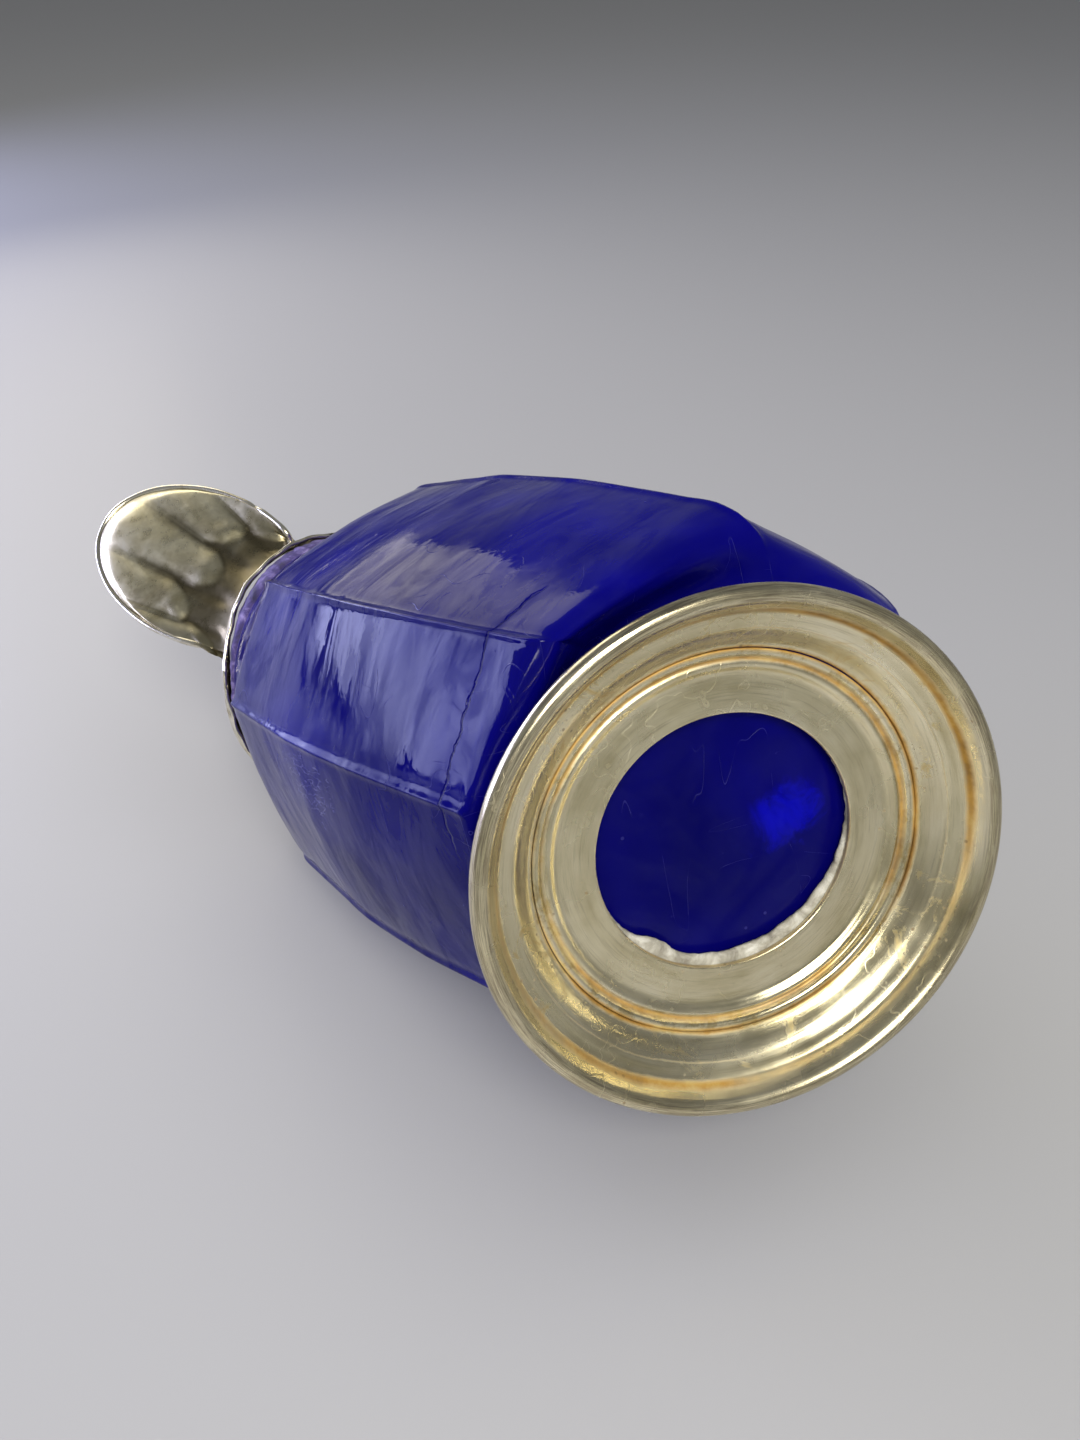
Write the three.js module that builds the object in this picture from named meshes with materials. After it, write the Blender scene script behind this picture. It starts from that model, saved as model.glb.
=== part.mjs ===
// Carafe: eight-panelled blue glass body leaning on a round spun metal foot, with a
// fluted metal pouring mouth set on its wide neck. Millimetres, +Z up, foot on z = 0.
import * as THREE from 'three'

// ---- driving dimensions ---------------------------------------------------
const FOOT_R = 50            // outer radius of the foot's rolled rim
const FOOT_SHEET = 1.2       // sheet of the foot and of its seat plate
const HOLE_R = 25            // hole in the seat plate
const SEAT_Z = 11.75         // underside of the seat plate above the rim plane
const GLASS_Z = 15.6         // flat glass bottom above the rim plane
const GLASS_BASE_R = 33      // radius of the flat glass bottom
const GLASS_BASE_AT = [6, -5]
const GLASS_WALL = 3.6       // glass wall
const PANEL_BOW = 0.7        // 0 = round section, 1 = flat panels
// the eight ridges between the panels, in degrees round the body from the ridge direction
const RIDGES_AT = [-136, -93, -42.4, -8, 45, 88, 134, 179]
const SPOUT_SHEET = 0.9      // sheet of the mouthpiece
const WIRE_R = 1.0           // bead wire round the lip
const WIRE_OUT = 1.5         // the wire's middle stands this far outside the sheet
const WIRE_UP = 0.3          // and this far past its edge
const GAP = 0.3              // fitting gap between touching pieces
const FLUTE_DEPTH = 1.1      // depth of the flutes in the mouthpiece
const FLUTES = 14

// body axis: a point on it and its direction (leans 23.1 degrees towards -X)
const AXIS_AT = new THREE.Vector3(7.185, -8.242, 7.603)
const AXIS = new THREE.Vector3(-0.3923, 0, 0.91984).normalize()
// direction of the ridge that the lip is lined up with, square to the axis
const RIDGE = new THREE.Vector3(-0.55794, -0.79503, -0.23796)
RIDGE.addScaledVector(AXIS, -RIDGE.dot(AXIS)).normalize()
const RIDGE_SIDE = new THREE.Vector3().crossVectors(AXIS, RIDGE)

// body section along the axis: [distance along the axis, radius at the ridges, panel share]
const BARREL = [
  [24, 52.62, 1], [32, 53.3, 1], [40, 53.91, 1], [50, 54.6, 1], [60, 55.1, 1], [70, 55.25, 1], [80, 55.16, 1],
  [88, 54.65, 1], [95, 53.96, 1], [102, 53.3, 1], [108, 52.71, 1], [113, 52.4, 1], [118, 51.6, 1], [121.5, 49.0, 1], [124.8, 45.6, 1],
]
const SHOULDER = [[128, 43.9, 0.9], [131, 42.4, 0.75], [134, 40.9, 0.55], [137, 39.5, 0.38], [141.5, 37.3, 0.14], [144.6, 35.9, 0], [145.8, 35.3, 0], [146.7, 34.4, 0]]
const NECK_IN = [[146.7, 32.3, 0], [145.6, 31.7, 0], [139, 32.0, 0.2], [134, 33.5, 0.5], [129, 36.8, 0.7], [124.5, 40.8, 0.85], [120, 44.8, 0.95]]
const NECK_OFF = [3.9, -1.6]  // the neck stands this far off the body's axis, along the ridge direction and square to it

// mouthpiece: seat circle on the axis and rim curve (Fourier terms, in foot radii)
const COLLAR_S = 149.6       // lower edge along the axis
const COLLAR_RISE = 6.5      // the edge arches up by this much over the front
const RISE_AT = 0.5          // where it is highest, in radians from the ridge direction
const COLLAR_R = 35.5
const RIM_X = [0.468, 0.853, -0.19, 0.159]
const RIM_Y = [0.591, -0.16, 0.22, -0.015]
const RIM_S = [3.344, 0.311, 0.251, 0.163]
const LIP_TURN = -0.1           // the lip stands this far (radians) off the ridge
const RIM_MIN_S = 3.13       // the lip never comes lower or further in than this
const RIM_MIN_R = 0.71

const SEG = 56               // steps round the turned pieces
const PANEL_STEPS = 8        // steps across a panel
const SPOUT_SEG = 84         // steps round the mouthpiece

// ---- mesh helpers ---------------------------------------------------------
const V = (x, y, z) => new THREE.Vector3(x, y, z)
const mix = (a, b, t) => a + (b - a) * t
const smooth = (t) => { const u = Math.min(1, Math.max(0, t)); return u * u * (3 - 2 * u) }

// rows of points joined into one closed skin; a start and an end point close the ends,
// or the last row joins the first
function skin(rows, startPoint, endPoint) {
  const n = rows[0].length
  const pos = []
  const idx = []
  for (const row of rows) for (const p of row) pos.push(p.x, p.y, p.z)
  const joined = !startPoint
  const last = joined ? rows.length : rows.length - 1
  for (let j = 0; j < last; j++) {
    const a = j * n
    const b = ((j + 1) % rows.length) * n
    for (let i = 0; i < n; i++) {
      const k = (i + 1) % n
      idx.push(a + i, a + k, b + k, a + i, b + k, b + i)
    }
  }
  if (!joined) {
    const s = pos.length / 3
    pos.push(startPoint.x, startPoint.y, startPoint.z, endPoint.x, endPoint.y, endPoint.z)
    const e = (rows.length - 1) * n
    for (let i = 0; i < n; i++) {
      const k = (i + 1) % n
      idx.push(s, k, i, s + 1, e + i, e + k)
    }
  }
  // outward faces: flip when the enclosed volume comes out negative
  let vol = 0
  for (let t = 0; t < idx.length; t += 3) {
    const [p, q, r] = [idx[t] * 3, idx[t + 1] * 3, idx[t + 2] * 3]
    vol += pos[p] * (pos[q + 1] * pos[r + 2] - pos[q + 2] * pos[r + 1])
      - pos[p + 1] * (pos[q] * pos[r + 2] - pos[q + 2] * pos[r])
      + pos[p + 2] * (pos[q] * pos[r + 1] - pos[q + 1] * pos[r])
  }
  if (vol < 0) for (let t = 0; t < idx.length; t += 3) [idx[t + 1], idx[t + 2]] = [idx[t + 2], idx[t + 1]]
  const g = new THREE.BufferGeometry()
  g.setAttribute('position', new THREE.Float32BufferAttribute(pos, 3))
  g.setIndex(idx)
  g.computeVertexNormals()
  return g
}

// turned piece about the foot's own axis: loop of [radius, height]
function turned(loop, seg) {
  return skin(loop.map(([r, z]) => {
    const row = []
    for (let i = 0; i < seg; i++) {
      const a = (2 * Math.PI * i) / seg
      row.push(V(r * Math.cos(a), r * Math.sin(a), z))
    }
    return row
  }))
}

// ring of points square to `dir` round `at`, measured from the ridge direction
function ringThrough(at, dir, angles, radiusOf) {
  const e1 = RIDGE.clone().addScaledVector(dir, -RIDGE.dot(dir)).normalize()
  const e2 = new THREE.Vector3().crossVectors(dir, e1)
  return angles.map((a, i) => {
    const r = radiusOf(a, i)
    return at.clone().addScaledVector(e1, r * Math.cos(a)).addScaledVector(e2, r * Math.sin(a))
  })
}
const onAxis = (s) => AXIS_AT.clone().addScaledVector(AXIS, s)
const shiftedAxis = (s, share) => onAxis(s).addScaledVector(RIDGE, NECK_OFF[0] * share).addScaledVector(RIDGE_SIDE, NECK_OFF[1] * share)
const neckShare = (s) => smooth((s - 118) / 28.7)
const rise = (a) => {
  const d = Math.atan2(Math.sin(a - RISE_AT), Math.cos(a - RISE_AT))
  return Math.abs(d) * 1.3 < Math.PI / 2 ? COLLAR_RISE * Math.cos(1.3 * d) ** 1.2 : 0
}
const evenAngles = (seg) => Array.from({ length: seg }, (_, i) => (2 * Math.PI * i) / seg)
const ringAt = (at, dir, seg, radiusOf) => ringThrough(at, dir, evenAngles(seg), radiusOf)

// angles round the body with a point on every ridge, and each one's panel: [middle, half width]
const BODY_ANGLES = []
const BODY_PANELS = []
RIDGES_AT.forEach((deg, k) => {
  const lo = THREE.MathUtils.degToRad(deg)
  const hi = THREE.MathUtils.degToRad(k + 1 < RIDGES_AT.length ? RIDGES_AT[k + 1] : RIDGES_AT[0] + 360)
  for (let i = 0; i < PANEL_STEPS; i++) {
    const t = i / PANEL_STEPS
    BODY_ANGLES.push(lo + (hi - lo) * (t - (0.5 * Math.sin(2 * Math.PI * t)) / (2 * Math.PI)))
    BODY_PANELS.push([(lo + hi) / 2, (hi - lo) / 2])
  }
})

// panel section: 1 at the ridges, less at the middle of a panel
const panel = (i, share) => {
  const [middle, half] = BODY_PANELS[i]
  return 1 + (Math.pow(Math.cos(half) / Math.cos(BODY_ANGLES[i] - middle), PANEL_BOW) - 1) * share
}
const bodyRing = (at, dir, r, share, less) => ringThrough(at, dir, BODY_ANGLES, (_, i) => r * panel(i, share) - less)
const barrelRing = ([s, r, share], less = 0) => bodyRing(shiftedAxis(s, neckShare(s)), AXIS, r, share, less)

// heel: the section turns from the flat bottom to the leaning axis
const HEEL_END = 24
const SAG_Z = 6.0            // the heel never comes lower than this over the foot
const SAG = [[0, 0], [0.06, 0.2], [0.14, 1.5], [0.25, 4.6], [0.4, 7.8], [0.6, 9.8], [0.8, 7.6], [0.9, 4.6], [1, 0]]
const sag = (w) => {
  const k = SAG.findIndex(([x]) => x >= w)
  if (k <= 0) return 0
  const [[x0, y0], [x1, y1]] = [SAG[k - 1], SAG[k]]
  return mix(y0, y1, (w - x0) / (x1 - x0))
}
function heelRing(w, r, share, less = 0) {
  const b0 = V(GLASS_BASE_AT[0], GLASS_BASE_AT[1], GLASS_Z)
  const b1 = onAxis(HEEL_END)
  const t0 = V(0, 0, 14)
  const t1 = AXIS.clone().multiplyScalar(14)
  const h00 = 2 * w ** 3 - 3 * w ** 2 + 1
  const h10 = w ** 3 - 2 * w ** 2 + w
  const h01 = -2 * w ** 3 + 3 * w ** 2
  const h11 = w ** 3 - w ** 2
  const at = b0.multiplyScalar(h00).addScaledVector(t0, h10).addScaledVector(b1, h01).addScaledVector(t1, h11)
  const dir = V(0, 0, 1).lerp(AXIS, smooth(w)).normalize()
  const row = bodyRing(at, dir, r, share, less)
  // over the low side the panels run on towards the foot before they turn in
  const deep = sag(w) * smooth((r - less - 40) / 8) * (less > 0 ? 0.45 : 1)
  row.forEach((p, i) => {
    const a = THREE.MathUtils.radToDeg(BODY_ANGLES[i])
    const near = smooth((a + 150) / 45) * smooth((62 - a) / 45)
    const lowest = SAG_Z + 0.8 * Math.max(0, 46.5 - Math.hypot(p.x + 3, p.y))
    const floor = Math.max(0, (p.z - lowest - 1.4 * less) / AXIS.z)
    p.addScaledVector(AXIS, -Math.min(deep * near, floor))
    // the inside keeps a full floor over the flat bottom
    if (less > 0) p.z = Math.max(p.z, GLASS_Z + 3.9 - 1.2 * Math.max(0, Math.hypot(p.x, p.y) - 42))
  })
  return { at, row }
}

// ---- pieces ---------------------------------------------------------------
function glassBody() {
  const out = []
  for (const [w, r, share] of [[0, GLASS_BASE_R, 0], [0.03, 35.7, 0.05], [0.06, 38.0, 0.1], [0.14, 42.8, 0.22], [0.25, 48.2, 0.5], [0.4, 51.2, 0.8], [0.6, 52.4, 1], [0.8, 52.5, 1], [0.9, 52.6, 1]]) out.push(heelRing(w, r, share).row)
  for (const b of BARREL) out.push(barrelRing(b))
  for (const b of SHOULDER) out.push(barrelRing(b))
  for (const b of NECK_IN) out.push(barrelRing(b))
  for (const b of BARREL.slice(0, -2).reverse()) out.push(barrelRing(b, GLASS_WALL))
  for (const [w, r] of [[0.9, 52.2], [0.8, 51.9], [0.68, 50.4], [0.56, 47.6], [0.47, 43.8]]) out.push(heelRing(w, r, w, GLASS_WALL - 0.4).row)
  const floorW = 0.4
  out.push(heelRing(floorW, 38.0, 0.25, 0.01).row, heelRing(floorW - 0.025, 30.0, 0, 0.01).row, heelRing(floorW - 0.03, 15.0, 0, 0.01).row)
  return skin(out, V(GLASS_BASE_AT[0], GLASS_BASE_AT[1], GLASS_Z), heelRing(floorW - 0.03, 1, 0).at)
}

function foot() {
  const t = FOOT_SHEET
  return turned([
    // underside from the joint with the seat plate to the rolled rim
    [37.6, 9.2], [38.6, 8.8], [40.2, 7.5], [41.8, 5.7], [43.4, 4.3], [45.0, 3.4], [46.2, 2.9],
    [46.5, 1.6], [47.3, 0.0], [49.2, 0.0], [FOOT_R - 0.1, 0.8], [FOOT_R, 1.9], [FOOT_R - 0.4, 3.0], [48.6, 3.8],
    // upper side back to the joint
    [46.6, 3.9 + 0.2], [45.2, 3.4 + t], [43.9, 4.3 + t], [42.5, 5.7 + t], [40.9, 7.7 + t], [39.1, 9.1 + t], [37.6, 9.3 + t],
  ], SEG)
}

function footSeat() {
  const t = FOOT_SHEET
  const joint = 37.6 - GAP
  return turned([
    [HOLE_R, SEAT_Z], [33.4, SEAT_Z], [34.5, 11.3], [35.2, 10.3], [35.7, 9.5], [joint, 9.2],
    [joint, 9.2 + t], [36.3, 9.6 + t], [36.1, 10.7 + t], [35.1, 11.4 + t], [33.8, SEAT_Z + t], [HOLE_R, SEAT_Z + t],
  ], SEG)
}

// cement between the seat plate and the glass bottom, thicker and further in on one side
function footCement() {
  const lo = SEAT_Z + FOOT_SHEET + GAP
  const hi = GLASS_Z - GAP
  const seg = 40
  const loop = [[0, lo], [6.5, lo], [7.4, (lo + hi) / 2], [6.5, hi], [0, hi], [-0.9, (lo + hi) / 2]]
  return skin(loop.map(([dr, z]) => {
    const row = []
    for (let i = 0; i < seg; i++) {
      const a = (2 * Math.PI * i) / seg
      const side = Math.max(0, Math.cos(a - 1.75)) ** 2
      const inner = 26.4 - 3.2 * side + 0.35 * Math.sin(5 * a) + 0.25 * Math.sin(11 * a)
      const r = dr <= 0 ? inner + dr : 26.4 + dr * 0.8 + 0.3 * Math.sin(7 * a)
      row.push(V(r * Math.cos(a), r * Math.sin(a), z))
    }
    return row
  }))
}

// ring of the neck's fittings: [distance, radius, share of the collar's rise, lump]
const neckRing = ([s, r, up = 0, lump = 0], seg, wob) => {
  const row = ringAt(shiftedAxis(s, 1), AXIS, seg, (a) => r + (lump ? wob(a) * lump : 0))
  return row.map((p, i) => p.addScaledVector(AXIS, up * rise((2 * Math.PI * i) / seg)))
}

function neckSleeve() {
  return skin([
    [130, 30.6], [146.5, 30.6], [147.8, 30.6, 0.95], [149.8, 31.6, 0.95], [151.2, 32.6, 0.8], [152.2, 33.1, 0.65], [153.2, 33.1, 0.55],
    [153.2, 32.2, 0.55], [152.4, 32.2, 0.65], [151.8, 31.7, 0.8], [150.5, 30.7, 0.95], [148.2, 29.7, 0.95], [146.5, 29.7], [130, 29.7],
  ].map((row) => neckRing(row, 60)))
}

function neckCement() {
  const wob = (a) => 0.55 * Math.sin(3 * a + 1) + 0.35 * Math.sin(8 * a)
  return skin([
    [147.2, 31.1], [147.2, 33.6, 0, 0.4], [148.1, 34.2, 0.4, 1], [148.9, 33.4, 1, 0.6], [148.8, 32.3, 1], [147.6, 31.1, 0.1],
  ].map((row) => neckRing(row, 60, wob)))
}

// the mouthpiece grows from the collar circle into the rim curve
const four = (c, t, sine) => sine
  ? c[0] * Math.sin(t) + c[1] * Math.sin(2 * t) + c[2] * Math.sin(3 * t) + c[3] * Math.sin(4 * t)
  : c[0] + c[1] * Math.cos(t) + c[2] * Math.cos(2 * t) + c[3] * Math.cos(3 * t)
const FRONT = RIDGE.clone().applyAxisAngle(AXIS, LIP_TURN)
const SIDE = new THREE.Vector3().crossVectors(AXIS, FRONT)
// polar angle and radius of the rim curve round the axis
function rimPolar(t) {
  const u = Math.atan2(Math.sin(t), Math.cos(t))
  const x = four(RIM_X, u, false)
  const y = four(RIM_Y, u, true)
  return { angle: Math.abs(u) > 3.1415 ? u : Math.atan2(y, x), radius: FOOT_R * Math.max(RIM_MIN_R, Math.hypot(x, y)), turn: t - u }
}
const collarAngle = (t) => { const q = rimPolar(t); return q.turn + mix(t - q.turn, q.angle, 0.85) }
function spoutPoint(t, v) {
  const q = rimPolar(t)
  const s1 = FOOT_R * Math.max(RIM_MIN_S, four(RIM_S, t, false))
  const w = Math.max(0, v - 0.02) / 0.98
  const g = mix(w, smooth(w), 0.5)
  const a = mix(collarAngle(t), q.turn + q.angle, g)
  const r = mix(COLLAR_R, q.radius, g)
  const s0 = COLLAR_S + rise(a + LIP_TURN)
  return shiftedAxis(mix(s0, s1, v), 1 - smooth(v)).addScaledVector(FRONT, r * Math.cos(a)).addScaledVector(SIDE, r * Math.sin(a))
}
function spoutFrame(t, v) {
  const h = 1e-3
  const p = spoutPoint(t, v)
  const dt = spoutPoint(t + h, v).sub(spoutPoint(t - h, v)).normalize()
  // the sheet stands almost upright round the axis, so its thickness runs outwards from it
  const rel = p.clone().sub(shiftedAxis(0, 1 - smooth(v)))
  const n = rel.addScaledVector(AXIS, -rel.dot(AXIS)).normalize()
  // direction in the sheet, square to the rim
  const e = new THREE.Vector3().crossVectors(n, dt).normalize()
  return { p, n, e }
}
// flutes fade in above the collar and out below the rim
function flute(t, v) {
  const fade = smooth((v - 0.12) / 0.3) * smooth((1 - v) / 0.18)
  const tall = smooth((four(RIM_S, t, false) - 3.15) / 0.4)
  return -FLUTE_DEPTH * fade * tall * (0.5 - 0.5 * Math.cos(FLUTES * t))
}
function spout() {
  const vs = [0.012, 0.05, 0.14, 0.28, 0.44, 0.6, 0.76, 0.9, 1]
  const rows = []
  const lipRow = (off, ds) => {
    const row = []
    for (let i = 0; i < SPOUT_SEG; i++) {
      const t = (2 * Math.PI * i) / SPOUT_SEG
      const r = COLLAR_R + off
      const a = collarAngle(t)
      row.push(shiftedAxis(COLLAR_S + rise(a + LIP_TURN) + ds, 1).addScaledVector(FRONT, r * Math.cos(a)).addScaledVector(SIDE, r * Math.sin(a)))
    }
    return row
  }
  const side = (off) => vs.map((v) => {
    const row = []
    for (let i = 0; i < SPOUT_SEG; i++) {
      const t = (2 * Math.PI * i) / SPOUT_SEG
      const f = spoutFrame(t, v)
      row.push(f.p.addScaledVector(f.n, flute(t, v) + off))
    }
    return row
  })
  rows.push(lipRow(0.7, -0.5))
  rows.push(...side(0))
  rows.push(...side(-SPOUT_SHEET).reverse())
  rows.push(lipRow(-SPOUT_SHEET + 0.5, -0.6))
  return skin(rows)
}
function lipWire() {
  const k = 6
  const rows = []
  for (let j = 0; j < k; j++) {
    const b = (2 * Math.PI * j) / k
    const row = []
    for (let i = 0; i < SPOUT_SEG; i++) {
      const t = (2 * Math.PI * i) / SPOUT_SEG
      const f = spoutFrame(t, 1)
      const c = f.p.addScaledVector(f.n, WIRE_OUT).addScaledVector(f.e, WIRE_UP)
      row.push(c.addScaledVector(f.n, WIRE_R * Math.sin(b)).addScaledVector(f.e, -WIRE_R * Math.cos(b)))
    }
    rows.push(row)
  }
  return skin(rows)
}

// ---- materials and assembly ----------------------------------------------
const glassMat = new THREE.MeshStandardMaterial({ color: 0x1a1f8f, roughness: 0.08, metalness: 0 })
const plateMat = new THREE.MeshStandardMaterial({ color: 0xc9c2ac, roughness: 0.3, metalness: 1 })
const cementMat = new THREE.MeshStandardMaterial({ color: 0xb9b3a6, roughness: 0.9, metalness: 0 })

const group = new THREE.Group()
group.name = 'carafe'
const pieces = [
  ['foot', foot(), plateMat],
  ['foot_seat', footSeat(), plateMat],
  ['foot_cement', footCement(), cementMat],
  ['glass_body', glassBody(), glassMat],
  ['neck_cement', neckCement(), cementMat],
  ['neck_sleeve', neckSleeve(), plateMat],
  ['mouth_shell', spout(), plateMat],
  ['lip_wire', lipWire(), plateMat],
]
// the origin goes to the middle of the bounding box's underside
const box = new THREE.Box3()
for (const [, g] of pieces) { g.computeBoundingBox(); box.union(g.boundingBox) }
const shift = box.getCenter(new THREE.Vector3())
for (const [name, g, mat] of pieces) {
  g.translate(-shift.x, -shift.y, -box.min.z)
  const mesh = new THREE.Mesh(g, mat)
  mesh.name = name
  group.add(mesh)
}

export default group
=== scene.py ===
import math

import bpy
import numpy as np
from mathutils import Matrix, Vector, noise


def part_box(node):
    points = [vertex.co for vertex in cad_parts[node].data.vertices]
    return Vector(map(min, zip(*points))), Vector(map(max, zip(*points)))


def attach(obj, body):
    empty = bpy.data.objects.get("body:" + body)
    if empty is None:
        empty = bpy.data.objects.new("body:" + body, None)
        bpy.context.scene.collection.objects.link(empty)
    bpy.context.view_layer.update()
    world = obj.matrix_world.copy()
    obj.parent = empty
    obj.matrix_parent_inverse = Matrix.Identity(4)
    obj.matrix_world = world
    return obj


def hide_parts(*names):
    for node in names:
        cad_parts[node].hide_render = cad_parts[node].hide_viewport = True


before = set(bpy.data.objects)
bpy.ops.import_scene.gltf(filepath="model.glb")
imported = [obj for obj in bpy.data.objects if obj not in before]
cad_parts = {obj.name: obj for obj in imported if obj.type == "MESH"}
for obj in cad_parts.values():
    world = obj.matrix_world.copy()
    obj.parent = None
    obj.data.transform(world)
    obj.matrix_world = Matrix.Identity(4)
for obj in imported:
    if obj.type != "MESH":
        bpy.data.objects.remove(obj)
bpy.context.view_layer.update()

flo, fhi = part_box("foot")
ORIGIN = np.array([(flo[0] + fhi[0]) / 2, (flo[1] + fhi[1]) / 2, 0.0])  # middle of the foot's rim plane

R = 0.05
AX0 = np.array([7.185, -8.242, 7.603]) / 1000  # a point on the body's axis
AXD = np.array([-0.3923, 0.0, 0.91984])
AXD /= np.linalg.norm(AXD)
RID = np.array([-0.55794, -0.79503, -0.23796])  # towards the ridge that the lip is near
RID -= AXD * (RID @ AXD)
RID /= np.linalg.norm(RID)
RID2 = np.cross(AXD, RID)


# ---------------------------------------------------------------- helpers
def smooth(t):
    t = np.clip(t, 0.0, 1.0)
    return t * t * (3 - 2 * t)


def curve(xs, ys, x):
    """Monotone cubic through the points."""
    xs = np.asarray(xs, float)
    ys = np.asarray(ys, float)
    x = np.asarray(x, float)
    h = np.diff(xs)
    dl = np.diff(ys) / h
    m = np.zeros(len(xs))
    for k in range(1, len(xs) - 1):
        if dl[k - 1] * dl[k] > 0:
            w1 = 2 * h[k] + h[k - 1]
            w2 = h[k] + 2 * h[k - 1]
            m[k] = (w1 + w2) / (w1 / dl[k - 1] + w2 / dl[k])
    m[0] = dl[0]
    m[-1] = dl[-1]
    i = np.clip(np.searchsorted(xs, x) - 1, 0, len(xs) - 2)
    t = (x - xs[i]) / h[i]
    return (
        ys[i] * (1 + 2 * t) * (1 - t) ** 2
        + h[i] * m[i] * t * (1 - t) ** 2
        + ys[i + 1] * t * t * (3 - 2 * t)
        - h[i] * m[i + 1] * t * t * (1 - t)
    )


def on_axis(s):
    return AX0 + np.multiply.outer(np.asarray(s, float), AXD)


NECK_OFF = (3.9 * RID - 1.6 * RID2) / 1000  # the neck stands this far off the body's axis
LIP_TURN = -0.1


def mid(s, share):
    """Middle at the distance s (metres) along the axis, moved towards the neck's own axis by share."""
    s = np.asarray(s, float)
    return on_axis(s) + np.multiply.outer(np.broadcast_to(share, s.shape), NECK_OFF)


def neck_share(s):
    return float(smooth((s - 118) / 28.7))


def rise(a):
    """The collar's edge arches up over the front; a is measured from RID. Millimetres."""
    d = np.arctan2(np.sin(a - 0.5), np.cos(a - 0.5))
    return 6.5 * np.clip(np.cos(np.clip(1.3 * d, -np.pi / 2, np.pi / 2)), 0, 1) ** 1.2


def lumps(P, scale, seed, octaves=3):
    """Smooth noise, about -1 to 1, at each point; scale is the size of its lumps in metres."""
    flat = np.asarray(P, float).reshape(-1, 3) / scale + seed
    out = np.array([noise.fractal(Vector(p), 1.0, 2.0, octaves) for p in flat])
    return out.reshape(np.asarray(P).shape[:-1])


def skin(name, rows, caps=None, material=None, node=None, relief=None):
    """Closed skin through rows of points (rows, round, 3). caps are the end points, or None to join the last row to the first."""
    rows = np.asarray(rows, float) + ORIGIN
    m, n = rows.shape[:2]
    verts = rows.reshape(-1, 3)
    i = np.arange(n)
    k = (i + 1) % n
    faces = []
    last = m if caps is None else m - 1
    for j in range(last):
        a = j * n
        b = ((j + 1) % m) * n
        faces.append(np.stack([a + i, a + k, b + k, b + i], 1))
    quads = np.concatenate(faces)
    tris = np.zeros((0, 3), int)
    if caps is not None:
        verts = np.concatenate([verts, np.asarray(caps, float) + ORIGIN])
        s = m * n
        e = (m - 1) * n
        tris = np.concatenate([np.stack([np.full(n, s), k, i], 1), np.stack([np.full(n, s + 1), e + i, e + k], 1)])
    # outward faces
    t3 = np.concatenate([quads[:, [0, 1, 2]], quads[:, [0, 2, 3]], tris])
    p, q, r = verts[t3[:, 0]], verts[t3[:, 1]], verts[t3[:, 2]]
    if np.einsum("ij,ij->i", p, np.cross(q, r)).sum() < 0:
        quads = quads[:, ::-1]
        tris = tris[:, ::-1]
    mesh = bpy.data.meshes.new(name)
    mesh.from_pydata(verts.tolist(), [], quads.tolist() + tris.tolist())
    mesh.update()
    mesh.polygons.foreach_set("use_smooth", np.ones(len(mesh.polygons), bool))
    if relief is not None:
        layer = mesh.attributes.new("relief", "FLOAT", "POINT")
        layer.data.foreach_set("value", np.asarray(relief, np.float32).reshape(-1))
    ob = bpy.data.objects.new(name, mesh)
    bpy.context.scene.collection.objects.link(ob)
    if material:
        mesh.materials.append(material)
    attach(ob, "root")
    if node:
        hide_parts(node)
    return ob


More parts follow.
